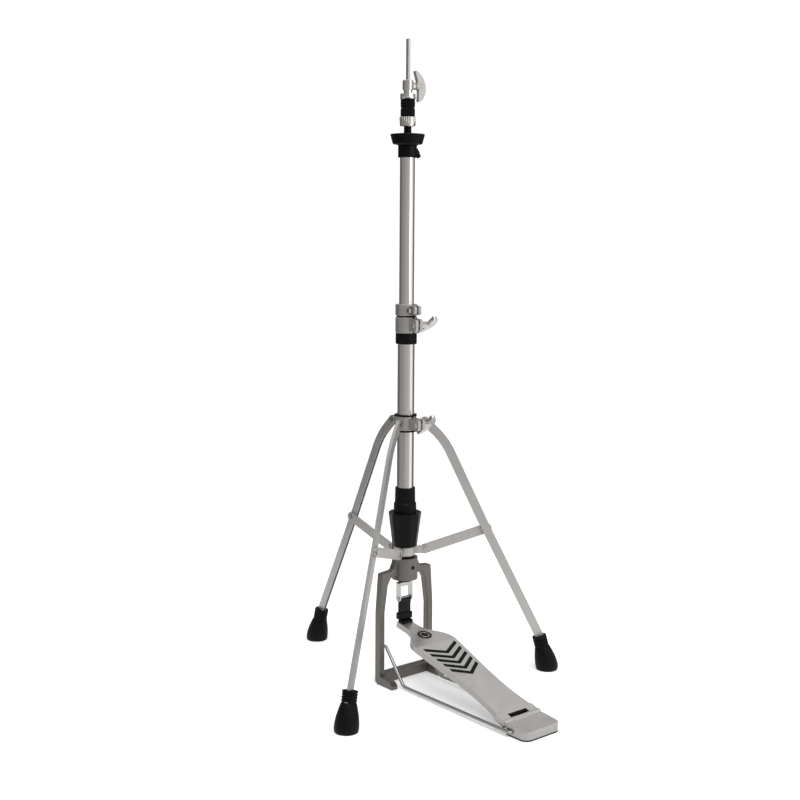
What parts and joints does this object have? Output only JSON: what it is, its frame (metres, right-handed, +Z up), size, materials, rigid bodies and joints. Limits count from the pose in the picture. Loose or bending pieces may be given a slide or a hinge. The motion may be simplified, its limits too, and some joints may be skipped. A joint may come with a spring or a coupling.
{
  "type": "hi-hat stand",
  "caption": "Hi-hat stand: cast arch with pedal, pull rod and clutch, two telescoping chrome tubes and a folding tripod with rubber feet.",
  "frame": {"origin": "on the floor under the tube's axis, in the underside of the cast frame's crossbar", "axes": "+Z up along the tubes and the pull rod, -Y towards the player along the pedal, +X to the right as seen by the player"},
  "size_m": [0.437, 0.5516, 0.9667],
  "materials": {
    "cast_grey": "satin",
    "chrome": "polished",
    "steel": "plated",
    "satin_zinc": "satin plated",
    "black_plastic": "matte",
    "rubber": "matte",
    "felt": "felt",
    "strap": "woven nylon",
    "aluminium": "satin cast"
  },
  "bodies": {
    "stand_base": {"base_frame": "cast_grey", "hub_bush": "black_plastic", "lower_tube": "chrome", "spring_seat": "steel", "return_spring": "steel", "tension_housing": "black_plastic", "tube_sleeve": "black_plastic", "height_clamp": "satin_zinc", "height_bush": "black_plastic", "stretcher_wire": "steel", "heel_plate": "aluminium", "heel_pad": "rubber", "heel_hinge_pin": "steel", "brace_collar_washer": "black_plastic"},
    "tension_knob": {"tension_knob": "black_plastic"},
    "tripod_collar": {"brace_collar": "satin_zinc", "brace_pivot_rivets": "satin_zinc"},
    "leg_collar": {"leg_collar": "satin_zinc", "leg_collar_liner": "black_plastic", "leg_pivot_rivets": "satin_zinc"},
    "leg_collar_wing_bolt": {"leg_collar_wing": "chrome", "leg_collar_stud": "chrome"},
    "height_wing_bolt": {"height_wing": "chrome", "height_stud": "chrome"},
    "upper_tube": {"upper_tube": "chrome", "rod_guide": "black_plastic", "seat_base": "black_plastic"},
    "memory_lock": {"memory_lock": "satin_zinc", "memory_lock_bolt": "steel"},
    "cymbal_seat": {"cymbal_seat": "black_plastic"},
    "seat_tilt_screw": {"seat_tilt_screw": "steel"},
    "pull_rod": {"pull_rod_lower": "steel", "pull_rod_upper": "steel", "rod_coupler": "steel", "spring_retainer": "steel", "clevis": "steel", "clevis_pin": "steel"},
    "pull_strap": {"pull_strap": "strap"},
    "footboard": {"footboard": "aluminium", "footboard_disc": "black_plastic", "toe_clamp": "black_plastic"},
    "clutch": {"clutch_body": "chrome", "clutch_felts": "felt", "clutch_washer": "chrome", "clutch_flange_nut": "chrome"},
    "clutch_lock_nut": {"clutch_lock_nut": "chrome"},
    "clutch_wing_bolt": {"clutch_wing": "chrome", "clutch_stud": "chrome"},
    "leg_1": {"leg_1": "satin_zinc", "foot_1": "rubber"},
    "brace_1": {"brace_1": "satin_zinc", "brace_rivet_1": "satin_zinc"},
    "leg_2": {"leg_2": "satin_zinc", "foot_2": "rubber"},
    "brace_2": {"brace_2": "satin_zinc", "brace_rivet_2": "satin_zinc"},
    "leg_3": {"leg_3": "satin_zinc", "foot_3": "rubber"},
    "brace_3": {"brace_3": "satin_zinc", "brace_rivet_3": "satin_zinc"}
  },
  "joints": [
    {"name": "pull_rod_slide", "type": "slide", "parent": "stand_base", "child": "pull_rod", "axis": [0, 0, -1], "range_m": [0, 0.008], "stiffness_N_per_m": 700, "springref_m": -0.03, "deforming": ["return_spring"]},
    {"name": "footboard_hinge", "type": "hinge", "parent": "stand_base", "child": "footboard", "pos_m": [0, -0.258, 0.0135], "axis": [-1, 0, 0], "range_deg": [0, 1.81]},
    {"name": "pull_strap_hinge", "type": "hinge", "parent": "pull_rod", "child": "pull_strap", "pos_m": [0, 0, 0.127], "axis": [1, 0, 0], "range_deg": [0, 3.98]},
    {"name": "tension_knob_turn", "type": "hinge", "parent": "stand_base", "child": "tension_knob", "pos_m": [0, 0, 0.236], "axis": [0, 0, 1], "continuous": true},
    {"name": "tripod_swivel", "type": "hinge", "parent": "stand_base", "child": "tripod_collar", "pos_m": [0, 0, 0.202], "axis": [0, 0, 1], "range_deg": [-6, 6]},
    {"name": "leg_collar_slide", "type": "slide", "parent": "tripod_collar", "child": "leg_collar", "axis": [0, 0, 1], "range_m": [0, 0.09441]},
    {"name": "leg_collar_wing_turn", "type": "hinge", "parent": "leg_collar", "child": "leg_collar_wing_bolt", "pos_m": [0, -0.0315, 0.4], "axis": [1, 0, 0], "range_deg": [-90, 0]},
    {"name": "height_slide", "type": "slide", "parent": "stand_base", "child": "upper_tube", "axis": [0, 0, 1], "range_m": [0, 0.055]},
    {"name": "height_wing_turn", "type": "hinge", "parent": "stand_base", "child": "height_wing_bolt", "pos_m": [0, -0.024, 0.55], "axis": [1, 0, 0], "continuous": true},
    {"name": "memory_lock_slide", "type": "slide", "parent": "upper_tube", "child": "memory_lock", "axis": [0, 0, 1], "range_m": [0, 0.2]},
    {"name": "seat_tilt", "type": "hinge", "parent": "upper_tube", "child": "cymbal_seat", "pos_m": [-0.012, 0, 0.8138], "axis": [0, -1, 0], "range_deg": [0, 3.5]},
    {"name": "seat_tilt_screw_turn", "type": "hinge", "parent": "upper_tube", "child": "seat_tilt_screw", "pos_m": [0.017, 0, 0.805], "axis": [-0.5736, 0, 0.8192], "continuous": true},
    {"name": "clutch_slide", "type": "slide", "parent": "pull_rod", "child": "clutch", "axis": [0, 0, 1], "range_m": [0, 0.055]},
    {"name": "clutch_lock_nut_turn", "type": "hinge", "parent": "clutch", "child": "clutch_lock_nut", "pos_m": [0, 0, 0.848], "axis": [0, 0, 1], "continuous": true},
    {"name": "clutch_wing_turn", "type": "hinge", "parent": "clutch", "child": "clutch_wing_bolt", "pos_m": [0, 0, 0.89992], "axis": [1, 0, 0], "continuous": true},
    {"name": "leg_1_fold", "type": "hinge", "parent": "leg_collar", "child": "leg_1", "pos_m": [0, 0.03, 0.402], "axis": [-1, 0, 0], "range_deg": [0, 21.87]},
    {"name": "brace_1_fold", "type": "hinge", "parent": "tripod_collar", "child": "brace_1", "pos_m": [0, 0.032, 0.202], "axis": [1, 0, 0], "range_deg": [0, 58.08]},
    {"name": "leg_2_fold", "type": "hinge", "parent": "leg_collar", "child": "leg_2", "pos_m": [-0.02598, -0.015, 0.402], "axis": [0.5, -0.866, 0], "range_deg": [0, 21.87]},
    {"name": "brace_2_fold", "type": "hinge", "parent": "tripod_collar", "child": "brace_2", "pos_m": [-0.02771, -0.016, 0.202], "axis": [-0.5, 0.866, 0], "range_deg": [0, 58.08]},
    {"name": "leg_3_fold", "type": "hinge", "parent": "leg_collar", "child": "leg_3", "pos_m": [0.02598, -0.015, 0.402], "axis": [0.5, 0.866, 0], "range_deg": [0, 21.87]},
    {"name": "brace_3_fold", "type": "hinge", "parent": "tripod_collar", "child": "brace_3", "pos_m": [0.02771, -0.016, 0.202], "axis": [-0.5, -0.866, 0], "range_deg": [0, 58.08]}
  ],
  "couplings": [
    {"joint": "footboard_hinge", "follows": "pull_rod_slide", "rad_per_m": 3.915},
    {"joint": "pull_strap_hinge", "follows": "pull_rod_slide", "rad_per_m": 8.5734},
    {"joint": "clutch_slide", "follows": "height_slide", "ratio": 1},
    {"joint": "leg_1_fold", "follows": "leg_collar_slide", "rad_per_m": 4.0336},
    {"joint": "brace_1_fold", "follows": "leg_collar_slide", "rad_per_m": 10.729},
    {"joint": "leg_2_fold", "follows": "leg_collar_slide", "rad_per_m": 4.0336},
    {"joint": "brace_2_fold", "follows": "leg_collar_slide", "rad_per_m": 10.729},
    {"joint": "leg_3_fold", "follows": "leg_collar_slide", "rad_per_m": 4.0336},
    {"joint": "brace_3_fold", "follows": "leg_collar_slide", "rad_per_m": 10.729}
  ]
}
